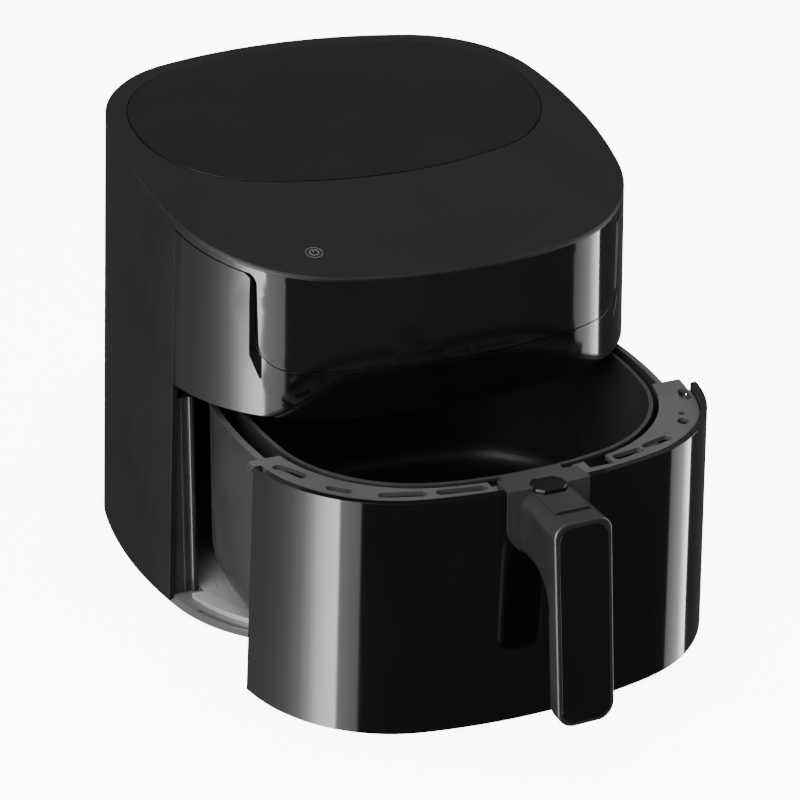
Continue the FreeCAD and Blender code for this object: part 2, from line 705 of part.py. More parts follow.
def make_interlock_plunger():
    rod = tube(PLUNGER_R, PLUNGER_LONG, V(PLUNGER_X, SWITCH_FRONT_Y - 6.4, PLUNGER_Z), Y_AXIS)
    return fillet_where(rod, 0.8, lambda e: e.CenterOfMass.y < SWITCH_FRONT_Y - 6.3)


def make_touch_board():
    return box(-62, 62, -127.8, -126.2, 182, 222)


def make_display_module():
    return box(-44, 44, -131.2, -127.8, 190, 214)


def make_power_board():
    board = box(-112, -52, -48, 44, BOARD_Z, BOARD_Z + BOARD_THICK)
    return board.cut([tube(1.7, 10, V(x, y, BOARD_Z - 4)) for x, y in BOARD_POSTS])


def make_board_spacers():
    high = BOARD_Z - CHAMBER_TOP_Z
    return Part.makeCompound([tube(3.2, high, V(x, y, CHAMBER_TOP_Z)) for x, y in BOARD_POSTS])


def make_board_components():
    z = BOARD_Z + BOARD_THICK
    relay = box(-106, -90, 10, 30, z, z + 15)
    relay_b = box(-84, -68, 10, 30, z, z + 15)
    choke = box(-106, -82, -30, -10, z, z + 14)
    capacitor_a = tube(5, 18, V(-70, -20, z))
    capacitor_b = tube(5, 18, V(-60, -32, z))
    terminal = box(-78, -58, -4, 6, z, z + 9)
    return Part.makeCompound([relay, relay_b, choke, capacitor_a, capacitor_b, terminal])


def make_thermal_cutout():
    disc = tube(8, 6, V(50, 60, CHAMBER_TOP_Z))
    flange = box(36, 64, 56, 64, CHAMBER_TOP_Z, CHAMBER_TOP_Z + 0.8)
    tab_a = box(46, 47, 58, 62, CHAMBER_TOP_Z + 6, CHAMBER_TOP_Z + 12)
    tab_b = box(53, 54, 58, 62, CHAMBER_TOP_Z + 6, CHAMBER_TOP_Z + 12)
    return disc.fuse([flange, tab_a, tab_b]).removeSplitter()


def make_temperature_probe():
    stem = tube(PROBE_R, 26, V(PROBE_X, 0, CHAMBER_TOP_Z - 18))
    collar = tube(5, 3, V(PROBE_X, 0, CHAMBER_TOP_Z))
    return stem.fuse(collar).removeSplitter()


def make_air_duct():
    """A box duct from the fan space to the outlet in the back."""
    return box(-46, 46, 108, 131, 200, 234).cut(box(-44.5, 44.5, 107, 132, 201.5, 232.5))


def make_rear_outlet_grille():
    face = Part.Face(rounded_rect(VENT_HALF - 0.3, VENT_LOW_Z + 0.3, VENT_TOP_Z - 0.3, 5.7, 5.7, 60))
    plate = body_shell(-0.4, SKIN - 0.6, 150, 290).common(face.extrude(V(0, FAR, 0)))
    for k in range(6):
        z = VENT_LOW_Z + 5.2 + 5.6 * k
        louvre = Part.Face(rounded_rect(VENT_HALF - 8, z, z + 3.0, 1.4, 1.4, 60))
        plate = plate.cut(louvre.extrude(V(0, FAR, 0)))
    return plate


def make_power_inlet_gland():
    y_wall = BODY["back"] - flare(GLAND_Z)
    body = tube(GLAND_R, 13, V(0, y_wall - 9, GLAND_Z), Y_AXIS)
    flange = tube(GLAND_R + 3, 3.2, V(0, y_wall + 0.8, GLAND_Z), Y_AXIS)
    nut = tube(GLAND_R + 2.5, 4, V(0, y_wall - SKIN - 5.4, GLAND_Z), Y_AXIS)
    gland = body.fuse([flange, nut]).removeSplitter()
    return gland.cut(tube(CORD_R, 60, V(0, y_wall - 30, GLAND_Z), Y_AXIS))


def make_wiring():
    supply = route([V(0, 133.5, GLAND_Z), V(0, 133.5, 146), V(-60, 124, 196), V(-62, 80, 219.2),
                    V(-62, 2, 219.2)], 2.4)
    panel = route([V(-64, -42, 214), V(-50, -70, 216), V(-30, -112, 216), V(-30, -124, 206)], 1.8)
    motor = route([V(-50, -10, 222), V(-40, -12, 232), V(-29, -10, 232)], 1.4)
    return Part.makeCompound([supply, panel, motor])


# ---- drawer: pan, front and frame ------------------------------------------------------
def make_pan():
    outer = prism(BASKET, -PAN_GAP, PAN_LOW_Z, PAN_TOP_Z)
    outer = fillet_where(outer, PAN_CORNER, lambda e: e.CenterOfMass.z < PAN_LOW_Z + 0.1)
    z_in = PAN_LOW_Z + PAN_WALL
    inner = prism(BASKET, -PAN_GAP + PAN_WALL, z_in, PAN_TOP_Z + 1)
    inner = fillet_where(inner, PAN_CORNER - PAN_WALL, lambda e: e.CenterOfMass.z < z_in + 0.1)
    rim = prism(BASKET, -PAN_GAP - PAN_RIM, PAN_TOP_Z - 1.8, PAN_TOP_Z)
    rim = rim.cut(prism(BASKET, -PAN_GAP + 0.5, 100, 200))
    return outer.cut(inner).fuse(rim).removeSplitter()


def panel_block(inset, z0, z1):
    return body_block(PANEL_INSET + inset, z0, z1)


def make_drawer_front():
    wall = panel_block(0, PANEL_LOW_Z, PANEL_TOP_Z).cut(panel_block(PANEL_THICK, 0, 200))
    wall = wall.common(box(-FAR, FAR, -FAR, PANEL_END_Y, 0, 200))
    return wall.cut([front_prism(NOTCH_HALF, NOTCH_LOW_Z, 300, NOTCH_RADIUS, 1)] + skirt_pilots())


def make_drawer_frame():
    """The slotted collar that ties the pan's rim to the front, closed below by a thin floor."""
    edge = PANEL_INSET + PANEL_THICK - 0.5
    plate = prism(BODY, edge, FRAME_LOW_Z, FRAME_TOP_Z)
    collar = plate.cut(prism(BASKET, -3.4, 100, 200)).common(box(-FAR, FAR, -FAR, -40, 0, 200))
    floor = prism(BODY, edge, FRAME_FLOOR_Z, FRAME_FLOOR_Z + FRAME_FLOOR)
    floor = floor.cut(prism(BASKET, -PAN_GAP - PAN_RIM - 0.4, 100, 200))
    floor = floor.common(box(-FAR, FAR, -FAR, -40, 0, 200))
    skirt = panel_block(PANEL_THICK + 0.3, SKIRT_LOW_Z, FRAME_TOP_Z)
    skirt = skirt.cut(panel_block(PANEL_THICK + 0.3 + SKIRT_THICK, 0, 200))
    skirt = skirt.common(box(-FAR, FAR, -FAR, PANEL_END_Y - 0.4, 0, 200))
    below = floor.fuse(skirt).cut(box(-29, 29, -FAR, 0, 0, 200))
    trim = polygon_prism([(141, -56), (138.5, -39), (180, -39), (180, -56)], 100, 200)
    openings = [slot(*place, FRAME_LOW_Z - 1, 200) for place in SLOTS]
    openings.append(box(34, 49, -119, -105, FRAME_LOW_Z - 1, 200))
    openings.append(box(-26, 26, -118, -100, 100, 200))
    openings.append(box(-POCKET_HALF - 0.2, POCKET_HALF + 0.2, -FAR, -123.3, 100, 200))
    frame = collar.cut(openings).fuse(below)
    return frame.cut([trim, mirrored(trim)] + skirt_pilots()).removeSplitter()


def skirt_screw_places():
    """Points on the inside of the collar's skirt, on the flat front arc."""
    inset = flare(SKIRT_SCREW_Z) + PANEL_INSET + PANEL_THICK + 0.3 + SKIRT_THICK
    radius = BODY["r_front"] - inset
    centre_y = BODY["r_front"] - BODY["front"]
    return [(x, centre_y - math.sqrt(radius * radius - x * x)) for x in SKIRT_SCREW_X]


def skirt_pilots():
    return [tube(1.3, 6.0, V(x, y + 1, SKIRT_SCREW_Z), -Y_AXIS) for x, y in skirt_screw_places()]


def make_frame_screws():
    screws = [screw(x, y + 1.6, SKIRT_SCREW_Z, 6.0, 1.3, 2.6, 1.0, -Y_AXIS)
              for x, y in skirt_screw_places()]
    return Part.makeCompound(screws)


# ---- basket ------------------------------------------------------------------------------
def hole_places():
    """Staggered rows of hole centres that stay on the basket's flat bottom."""
    limit = prism(BASKET, 27, 0, 1)
    places = []
    for row in range(-6, 7):
        y = row * HOLE_PITCH * 0.866
        shift = HOLE_PITCH / 2 if row % 2 else 0.0
        for col in range(-7, 8):
            x = col * HOLE_PITCH + shift
            if limit.isInside(V(x, y, 0.5), 0.01, True):
                places.append((x, y))
    return places


def make_basket():
    outer = prism(BASKET, BASKET_RIM, BASKET_LOW_Z, BASKET_TOP_Z)
    outer = fillet_where(outer, BASKET_CORNER, lambda e: e.CenterOfMass.z < BASKET_LOW_Z + 0.1)
    z_in = BASKET_LOW_Z + BASKET_WALL
    inner = prism(BASKET, BASKET_RIM + BASKET_WALL, z_in, BASKET_TOP_Z + 1)
    inner = fillet_where(inner, BASKET_CORNER - BASKET_WALL, lambda e: e.CenterOfMass.z < z_in + 0.1)
    rim = prism(BASKET, 0, BASKET_TOP_Z - 2.0, BASKET_TOP_Z).cut(prism(BASKET, 1.8, 100, 200))
    basket = outer.cut(inner).fuse(rim).removeSplitter()
    holes = [tube(HOLE_R, 6, V(x, y, BASKET_LOW_Z - 2)) for x, y in hole_places()]
    holes += [tube(1.6, 20, V(x, -116, TAB_SCREW_Z), Y_AXIS) for x in TAB_SCREW_X]
    return basket.cut(Part.makeCompound(holes))


def make_basket_bumpers():
    """Soft studs that keep the basket's bottom off the pan."""
    low = PAN_LOW_Z + PAN_WALL
    places = ((75, -62), (-75, -62), (75, 66), (-75, 66))
    return Part.makeCompound([tube(BUMPER_R, BASKET_LOW_Z - low, V(x, y, low)) for x, y in places])


# ---- handle ------------------------------------------------------------------------------
def grip_front_y(z):
    """The leaning front face of the grip."""
    t = (NECK_TOP_Z - z) / (NECK_TOP_Z - GRIP_LOW_Z)
    return GRIP_TOP_Y + t * (GRIP_LOW_Y - GRIP_TOP_Y)


def side_slab(front_shift, back_shift, z0, z1, half):
    """A leaning slab that follows the grip's front face."""
    corners = [V(-half, grip_front_y(z0) + front_shift, z0), V(-half, grip_front_y(z1) + front_shift, z1),
               V(-half, grip_front_y(z1) + back_shift, z1), V(-half, grip_front_y(z0) + back_shift, z0)]
    return Part.Face(Part.makePolygon(corners + [corners[0]])).extrude(V(2 * half, 0, 0))


def make_handle_mount():
    """The block in the front's notch, with a thin bridge back over the rims to the basket."""
    filler = panel_block(0.1, 90, PANEL_TOP_Z).cut(panel_block(PANEL_THICK, 0, 200))
    notch = front_prism(NOTCH_HALF - 0.35, NOTCH_LOW_Z + 0.35, 300, NOTCH_RADIUS - 0.3, 1)
    filler = filler.common(notch)
    bridge = box(-BRIDGE_HALF, BRIDGE_HALF, -134, BRIDGE_BACK_Y, BRIDGE_LOW_Z, PANEL_TOP_Z)
    plate = box(-TAB_HALF, TAB_HALF, BRIDGE_BACK_Y - 1, -110.8, BRIDGE_LOW_Z, TAB_TOP_Z)
    tab = box(-TAB_HALF, TAB_HALF, -113.4, -110.8, TAB_LOW_Z, TAB_TOP_Z)
    bosses = [tube(4.0, 2.5, V(x, -112, TAB_SCREW_Z), Y_AXIS) for x in TAB_SCREW_X]
    spring_block = box(-9.6, 0.8, -134, -123.6, 124, BRIDGE_LOW_Z + 1)
    lug = box(7.2, 9.2, -134, -123.6, 126, BRIDGE_LOW_Z + 1)
    mount = filler.fuse([bridge, plate, tab, spring_block, lug] + bosses).removeSplitter()
    holes = [octagon(POCKET_HALF, -FAR, POCKET_BACK_Y, BUTTON_CORNER, POCKET_LOW_Z, 160),
             tube(WELL_R, 40, V(WELL_X, WELL_Y, WELL_LOW_Z)),
             tube(LATCH_PIN_R, 12, V(-1.0, LATCH_Y, LATCH_Z), X_AXIS)]
    holes += [tube(1.6, 20, V(x, -120, TAB_SCREW_Z), Y_AXIS) for x in TAB_SCREW_X]
    holes += [tube(NECK_PILOT_R, 30, V(x, -150, z), Y_AXIS) for x, z in NECK_SCREWS]
    return mount.cut(holes)


def make_handle_body():
    """The neck and the leaning grip in one moulding."""
    lean = (GRIP_LOW_Y - GRIP_TOP_Y) / (GRIP_LOW_Z - NECK_TOP_Z)
    z_join = NECK_LOW_Z - 22
    y_join = GRIP_LOW_Y + GRIP_DEEP + lean * (z_join - GRIP_LOW_Z)
    p = [V(-30, -125, NECK_TOP_Z), V(-30, GRIP_TOP_Y, NECK_TOP_Z), V(-30, GRIP_LOW_Y, GRIP_LOW_Z),
         V(-30, GRIP_LOW_Y + GRIP_DEEP, GRIP_LOW_Z), V(-30, y_join, z_join),
         V(-30, y_join + 5.4, z_join + 15.6), V(-30, y_join + 19, NECK_LOW_Z), V(-30, -125, NECK_LOW_Z)]
    edges = [Part.makeLine(p[0], p[1]), Part.makeLine(p[1], p[2]), Part.makeLine(p[2], p[3]),
             Part.makeLine(p[3], p[4]), Part.Arc(p[4], p[5], p[6]).toShape(),
             Part.makeLine(p[6], p[7]), Part.makeLine(p[7], p[0])]
    side = Part.Face(Part.Wire(edges)).extrude(V(60, 0, 0))
    front = Part.Face(rounded_rect(NECK_HALF, GRIP_LOW_Z, NECK_TOP_Z, 10, 8, -FAR)).extrude(V(0, FAR, 0))
    handle = side.common(front).removeSplitter()

    def on_back(edge):
        c = edge.CenterOfMass
        deep = c.y - grip_front_y(c.z) > GRIP_DEEP - 1
        lengthwise = abs(c.x) > 5 or c.z < GRIP_LOW_Z + 0.1
        return deep and lengthwise and c.z < NECK_LOW_Z + 1 and c.y < MOUNT_FRONT_Y

    def on_front(edge):
        c = edge.CenterOfMass
        return abs(c.y - grip_front_y(c.z)) < 1.2

    handle = fillet_where(handle, GRIP_BACK_R, on_back)
    handle = fillet_where(handle, GRIP_FRONT_R, on_front)
    recess = front_prism(INLAY_HALF + 0.2, INLAY_LOW_Z - 0.2, INLAY_TOP_Z + 0.2, 8.2, 8.2)
    holes = [panel_block(0.1, 90, 200), recess.common(side_slab(-6, INLAY_DEEP, 20, 150, 30)),
             octagon(POCKET_HALF, POCKET_FRONT_Y, 0, BUTTON_CORNER, POCKET_LOW_Z, 160),
             box(-COVER_HALF, COVER_HALF, COVER_FRONT_Y - COVER_GAP, 0, NECK_TOP_Z - COVER_DEEP, 160)]
    holes += [tube(NECK_PILOT_R, 17, V(x, -147, z), Y_AXIS) for x, z in NECK_SCREWS]
    return handle.cut(holes)


def make_grip_inlay():
    plate = front_prism(INLAY_HALF, INLAY_LOW_Z, INLAY_TOP_Z, 8, 8)
    return plate.common(side_slab(-0.2, INLAY_DEEP - 0.05, 20, 150, 30))


def make_neck_cover():
    """The plate on the neck that wraps round the front of the button."""
    half = COVER_HALF - 0.1
    plate = box(-half, half, COVER_FRONT_Y, COVER_BACK_Y, NECK_TOP_Z - COVER_DEEP, NECK_TOP_Z + 0.4)
    plate = plate.cut(octagon(POCKET_HALF, POCKET_FRONT_Y, 0, BUTTON_CORNER, 100, 200))

    def on_long_sides(edge):
        c = edge.CenterOfMass
        return abs(c.x) > half - 0.1 and c.z > NECK_TOP_Z + 0.3

    plate = fillet_where(plate, 0.35, on_long_sides)
    ridge = box(1.2 - half, half - 1.2, COVER_FRONT_Y, COVER_FRONT_Y + 1.8, NECK_TOP_Z, NECK_TOP_Z + 1.1)
    return plate.fuse(ridge).removeSplitter()


def make_neck_screws():
    screws = [screw(x, -130.7, z, 14, 1.5, 2.7, 1.2, -Y_AXIS) for x, z in NECK_SCREWS]
    return Part.makeCompound(screws)


def make_basket_screws():
    screws = [screw(x, -106.2, TAB_SCREW_Z, 7.5, 1.6, 3.0, 1.2, -Y_AXIS) for x in TAB_SCREW_X]
    return Part.makeCompound(screws)


def make_release_button():
    """The eight-sided cap, a stem for its spring and a leg for the latch."""
    y_back = POCKET_BACK_Y - 0.4
    y_front = POCKET_FRONT_Y + 0.5
    cap = octagon(BUTTON_HALF, y_front, y_back, BUTTON_CORNER, CAP_LOW_Z, BUTTON_TOP_Z)
    cap = fillet_where(cap, 0.9, lambda e: e.CenterOfMass.z > BUTTON_TOP_Z - 0.1)
    stem = tube(1.9, 13.2, V(WELL_X, WELL_Y, CAP_LOW_Z - 13))
    leg = box(1.6, 3.4, -131.5, -130.4, 133.4, CAP_LOW_Z + 0.2)
    return cap.fuse([stem, leg]).removeSplitter()


def make_button_spring():
    return spring(WELL_X, WELL_Y, WELL_LOW_Z, 2.65, 0.32, CAP_LOW_Z - WELL_LOW_Z, 7)


def make_release_latch():
    """A small lever whose nose sits under the pan's rim."""
    arm = box(LATCH_X1 - 2.6, LATCH_X1, -128.2, -125.8, LATCH_Z, 138.4)
    nose = box(LATCH_X1 - 2.6, LATCH_X1, -128.2, -122.0, 136.2, 138.4)
    eye = tube(2.6, LATCH_X1 - LATCH_X0, V(LATCH_X0, LATCH_Y, LATCH_Z), X_AXIS)
    heel = box(LATCH_X0, LATCH_X1, -131.6, LATCH_Y, 130.4, 132.6)
    lever = arm.fuse([nose, eye, heel]).removeSplitter()
    return lever.cut(tube(LATCH_PIN_R + 0.05, 20, V(-5, LATCH_Y, LATCH_Z), X_AXIS))


def make_latch_pin():
    return tube(LATCH_PIN_R, 10.2, V(-1.0, LATCH_Y, LATCH_Z), X_AXIS)


# ---- write ---------------------------------------------------------------------------------
BODY_PIECES = {
    "outer_housing": make_outer_housing,
    "base_tray": make_base_tray,
    "front_sill": make_front_sill,
    "cavity_floor": make_cavity_floor,
    "cavity_liner": make_cavity_liner,
    "front_pillars": make_front_pillars,
    "rubber_feet": make_rubber_feet,
    "base_screws": make_base_screws,
    "upper_front_band": make_upper_front_band,
    "control_visor": make_control_visor,
    "top_cap": make_top_cap,
    "top_insert": make_top_insert,
    "power_symbol": make_power_symbol,
    "heating_chamber": make_heating_chamber,
    "heater_coil": make_heater_coil,
    "heater_clips": make_heater_clips,
    "food_guard": make_food_guard,
    "guard_hangers": make_guard_hangers,
    "hot_air_fan": make_hot_air_fan,
    "cooling_fan": make_cooling_fan,
    "motor_shaft": make_motor_shaft,
    "fan_nut": make_fan_nut,
    "motor_rotor": make_motor_rotor,
    "motor_stator": make_motor_stator,
    "motor_can": make_motor_can,
    "motor_bearings": make_motor_bearings,
    "motor_bracket": make_motor_bracket,
    "motor_screws": make_motor_screws,
    "interlock_switch": make_interlock_switch,
    "interlock_plunger": make_interlock_plunger,
    "touch_board": make_touch_board,
    "display_module": make_display_module,
    "power_board": make_power_board,
    "board_spacers": make_board_spacers,
    "board_components": make_board_components,
    "thermal_cutout": make_thermal_cutout,
    "temperature_probe": make_temperature_probe,
    "air_duct": make_air_duct,
    "rear_outlet_grille": make_rear_outlet_grille,
    "power_inlet_gland": make_power_inlet_gland,
    "wiring": make_wiring,
}

DRAWER_PIECES = {
    "pan": make_pan,
    "drawer_front": make_drawer_front,
    "drawer_frame": make_drawer_frame,
    "frame_screws": make_frame_screws,
    "basket": make_basket,
    "basket_bumpers": make_basket_bumpers,
    "handle_mount": make_handle_mount,
    "handle_body": make_handle_body,
    "grip_inlay": make_grip_inlay,
    "neck_cover": make_neck_cover,
    "neck_screws": make_neck_screws,
    "basket_screws": make_basket_screws,
    "release_button": make_release_button,
    "button_spring": make_button_spring,
    "release_latch": make_release_latch,
    "latch_pin": make_latch_pin,
}

os.makedirs("parts", exist_ok=True)
for name, make in BODY_PIECES.items():
    make().exportStep("parts/" + name + ".step")
for name, make in DRAWER_PIECES.items():
    piece = make()
    piece.translate(V(0, -DRAWER_OPEN, 0))
    piece.exportStep("parts/" + name + ".step")
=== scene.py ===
"""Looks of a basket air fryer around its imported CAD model.

Metres, in the CAD frame: +Z up, +Y towards the back, +X to the right when facing the front.
"""

import json
import math

import bpy
from mathutils import Matrix, Vector


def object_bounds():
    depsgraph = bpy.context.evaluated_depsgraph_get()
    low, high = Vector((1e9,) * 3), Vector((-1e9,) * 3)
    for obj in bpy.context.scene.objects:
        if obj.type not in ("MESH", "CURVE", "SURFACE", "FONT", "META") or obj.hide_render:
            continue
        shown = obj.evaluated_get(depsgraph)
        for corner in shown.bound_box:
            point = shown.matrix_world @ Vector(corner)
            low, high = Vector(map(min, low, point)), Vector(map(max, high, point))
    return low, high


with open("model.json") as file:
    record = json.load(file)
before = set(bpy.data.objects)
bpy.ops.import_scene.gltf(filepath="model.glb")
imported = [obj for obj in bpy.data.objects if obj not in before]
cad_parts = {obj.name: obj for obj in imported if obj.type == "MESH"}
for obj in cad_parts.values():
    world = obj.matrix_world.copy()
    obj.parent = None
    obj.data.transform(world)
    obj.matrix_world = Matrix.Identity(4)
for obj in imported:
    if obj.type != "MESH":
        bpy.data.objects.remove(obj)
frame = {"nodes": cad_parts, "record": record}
cad_low, cad_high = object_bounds()

MM = 0.001
CENTRE = (cad_low + cad_high) / 2


# ---- node graphs -----------------------------------------------------------------------
class Graph:
    """The nodes of one material, with short names for what the finishes share."""

    def __init__(self, name):
        self.material = bpy.data.materials.new(name)
        self.material.use_nodes = True
        self.tree = self.material.node_tree
        self.shader = self.tree.nodes["Principled BSDF"]
        self.place = self.add("ShaderNodeTexCoord").outputs["Object"]

    def add(self, kind, **settings):
        node = self.tree.nodes.new(kind)
        for key, value in settings.items():
            setattr(node, key, value)
        return node

    def feed(self, node, **values):
        """Sets or links a node's inputs by name, with _ for a space."""
        for key, value in values.items():
            socket = node.inputs[key.replace("_", " ")]
            if isinstance(value, bpy.types.NodeSocket):
                self.tree.links.new(value, socket)
            else:
                socket.default_value = value
        return node

    def stretched(self, stretch):
        mapping = self.add("ShaderNodeMapping")
        self.feed(mapping, Vector=self.place, Scale=stretch)
        return mapping.outputs["Vector"]

    def noise(self, size, detail=2.0, stretch=None):
        """Soft noise from 0 to 1 whose blotches are about size metres across."""
        node = self.add("ShaderNodeTexNoise")
        place = self.place if stretch is None else self.stretched(stretch)
        self.feed(node, Vector=place, Scale=1.0 / size, Detail=detail)
        return node.outputs["Fac"]

    def cells(self, size, feature="F1"):
        node = self.add("ShaderNodeTexVoronoi", feature=feature)
        self.feed(node, Vector=self.place, Scale=1.0 / size)
        return node.outputs["Distance"]

    def span(self, value, low, high, to_low, to_high):
        """Value from low to high, mapped to to_low to to_high and held there."""
        node = self.add("ShaderNodeMapRange")
        self.feed(node, Value=value, From_Min=low, From_Max=high, To_Min=to_low, To_Max=to_high)
        return node.outputs["Result"]

    def blend(self, factor, first, second):
        node = self.add("ShaderNodeMix", data_type="RGBA")
        node.inputs[6].default_value = (*first, 1.0)
        node.inputs[7].default_value = (*second, 1.0)
        self.tree.links.new(factor, node.inputs[0])
        return node.outputs[2]

    def total(self, *values):
        result = values[0]
        for value in values[1:]:
            node = self.add("ShaderNodeMath", operation="ADD")
            self.tree.links.new(result, node.inputs[0])
            self.tree.links.new(value, node.inputs[1])
            result = node.outputs[0]
        return result

    def edge_normal(self, radius):
        """The surface normal with its sharp edges rounded off by radius metres."""
        node = self.add("ShaderNodeBevel", samples=4)
        self.feed(node, Radius=radius)
        return node.outputs["Normal"]

    def bump(self, height, depth, normal):
        node = self.add("ShaderNodeBump")
        self.feed(node, Height=height, Distance=depth, Normal=normal)
        return node.outputs["Normal"]

    def finish(self, colour, roughness, normal, metallic=0.0, **plain):
        self.feed(self.shader, Base_Color=colour, Roughness=roughness, Normal=normal, Metallic=metallic)
        self.feed(self.shader, **plain)
        return self.material


def lighter(colour, factor):
    return tuple(min(1.0, c * factor) for c in colour)


# ---- finishes --------------------------------------------------------------------------
def textured_plastic(name, colour, rough, grain=0.45 * MM, depth=0.02 * MM, edge=0.35 * MM, sheen=0.5):
    """Moulded plastic from a spark-eroded tool: fine pits, slightly uneven sheen."""
    g = Graph(name)
    pits = g.noise(grain, detail=3.0)
    patches = g.noise(45 * MM, detail=3.0)
    tone = g.span(g.total(pits, patches), 0.7, 1.3, 0.0, 1.0)
    colour_out = g.blend(tone, lighter(colour, 0.86), lighter(colour, 1.16))
    rough_out = g.span(patches, 0.3, 0.7, rough - 0.04, rough + 0.04)
    normal = g.bump(pits, depth, g.edge_normal(edge))
    return g.finish(colour_out, rough_out, normal, Specular_IOR_Level=sheen)


def gloss_plastic(name, colour, rough, peel=0.0012 * MM, edge=0.35 * MM):
    """Polished moulding: faint orange peel, wiped patches and a few specks of dust."""
    g = Graph(name)
    smears = g.noise(28 * MM, detail=4.0, stretch=(1.0, 1.0, 0.35))
    dust = g.span(g.cells(5.5 * MM), 0.0, 0.03, 1.0, 0.0)
    rough_wiped = g.span(smears, 0.35, 0.75, rough, rough + 0.035)
    rough_dust = g.span(dust, 0.0, 1.0, 0.0, 0.3)
    tone = g.total(g.span(smears, 0.3, 0.8, 0.0, 0.35), dust)
    colour_out = g.blend(tone, colour, lighter(colour, 2.0))
    waves = g.noise(7 * MM, detail=1.0)
    normal = g.bump(waves, peel, g.edge_normal(edge))
    return g.finish(colour_out, g.total(rough_wiped, rough_dust), normal)


def coated_metal(name, colour, rough, fleck=0.9 * MM, edge=0.3 * MM):
    """Non-stick coating over pressed sheet: fine flecks and a soft uneven sheen."""
    g = Graph(name)
    flecks = g.span(g.cells(fleck), 0.12, 0.3, 1.0, 0.0)
    cloud = g.noise(30 * MM, detail=4.0)
    skin = g.noise(0.35 * MM, detail=2.0)
    tone = g.total(g.span(cloud, 0.3, 0.7, 0.0, 0.5), g.span(flecks, 0.0, 1.0, 0.0, 0.5))
    colour_out = g.blend(tone, lighter(colour, 0.85), lighter(colour, 1.4))
    rough_out = g.span(g.total(cloud, skin), 0.7, 1.3, rough - 0.05, rough + 0.06)
    return g.finish(colour_out, rough_out, g.bump(skin, 0.012 * MM, g.edge_normal(edge)))


def sheet_metal(name, colour, rough, grain=(1.0, 1.0, 1.0), depth=0.006 * MM, edge=0.2 * MM, metallic=1.0):
    """Rolled or plated metal, with drawn lines along the slack axis of the grain."""
    g = Graph(name)
    lines = g.noise(0.5 * MM, detail=3.0, stretch=grain)
    cloud = g.noise(22 * MM, detail=3.0)
    tone = g.span(g.total(lines, cloud), 0.7, 1.3, 0.0, 1.0)
    colour_out = g.blend(tone, lighter(colour, 0.86), lighter(colour, 1.08))
    rough_out = g.span(lines, 0.25, 0.75, rough - 0.06, rough + 0.08)
    normal = g.bump(lines, depth, g.edge_normal(edge))
    return g.finish(colour_out, rough_out, normal, metallic=metallic)


def heated_metal(name, colour, tint):
    """A heater's sheath, tinted in rings by its heat."""
    g = Graph(name)
    cloud = g.noise(9 * MM, detail=4.0)
    grain = g.noise(0.4 * MM, detail=2.0)
    colour_out = g.blend(g.span(cloud, 0.35, 0.65, 0.0, 1.0), colour, tint)
    rough_out = g.span(cloud, 0.3, 0.7, 0.36, 0.55)
    return g.finish(colour_out, rough_out, g.bump(grain, 0.01 * MM, g.edge_normal(0.1 * MM)), metallic=1.0)


def soft_rubber(name, colour):
    g = Graph(name)
    skin = g.noise(0.6 * MM, detail=3.0)
    bloom = g.noise(12 * MM, detail=3.0)
    colour_out = g.blend(g.span(bloom, 0.35, 0.7, 0.0, 1.0), colour, lighter(colour, 1.7))
    rough_out = g.span(skin, 0.3, 0.7, 0.72, 0.88)
    return g.finish(colour_out, rough_out, g.bump(skin, 0.04 * MM, g.edge_normal(0.4 * MM)))


def laminate(name, mask, trace):
    """A circuit board: solder mask over straight copper runs."""
    g = Graph(name)
    runs = g.add("ShaderNodeTexBrick")
    g.feed(runs, Vector=g.place, Scale=90.0, Mortar_Size=0.012)
    weave = g.noise(0.5 * MM, detail=1.0)
    tone = g.total(g.span(runs.outputs["Fac"], 0.0, 1.0, 0.0, 0.6), g.span(weave, 0.3, 0.7, 0.0, 0.2))
    colour_out = g.blend(tone, mask, trace)
    rough_out = g.span(weave, 0.3, 0.7, 0.28, 0.4)
    return g.finish(colour_out, rough_out, g.bump(runs.outputs["Fac"], 0.03 * MM, g.edge_normal(0.1 * MM)))


def wound_copper(name, colour, dark):
    """Enamelled windings laid side by side."""
    g = Graph(name)
    turns = g.add("ShaderNodeTexWave", bands_direction="Z")
    g.feed(turns, Vector=g.place, Scale=1600.0, Distortion=1.5)
    cloud = g.noise(6 * MM)
    colour_out = g.blend(turns.outputs["Fac"], dark, colour)
    rough_out = g.span(cloud, 0.3, 0.7, 0.3, 0.45)
    normal = g.bump(turns.outputs["Fac"], 0.1 * MM, g.edge_normal(0.2 * MM))
    return g.finish(colour_out, rough_out, normal, metallic=0.8)


def braided_sleeve(name, colour):
    g = Graph(name)
    braid = g.cells(0.8 * MM)
    colour_out = g.blend(g.span(braid, 0.0, 0.6, 0.0, 1.0), lighter(colour, 1.2), lighter(colour, 0.5))
    rough_out = g.span(braid, 0.0, 0.6, 0.6, 0.8)
    return g.finish(colour_out, rough_out, g.bump(braid, 0.1 * MM, g.edge_normal(0.1 * MM)))


def ink(name, colour):
    """Pad-printed ink, a little thin in places."""
    g = Graph(name)
    thin = g.noise(0.5 * MM, detail=3.0)
    colour_out = g.blend(g.span(thin, 0.3, 0.7, 0.0, 1.0), lighter(colour, 0.8), colour)
    rough_out = g.span(thin, 0.3, 0.7, 0.45, 0.6)
    return g.finish(colour_out, rough_out, g.bump(thin, 0.01 * MM, g.edge_normal(0.05 * MM)))


BLACK = (0.0065, 0.0065, 0.0068)
GLOSS = (0.0032, 0.0032, 0.0034)
GREY = (0.052, 0.052, 0.054)
BRIGHT = (0.60, 0.60, 0.61)

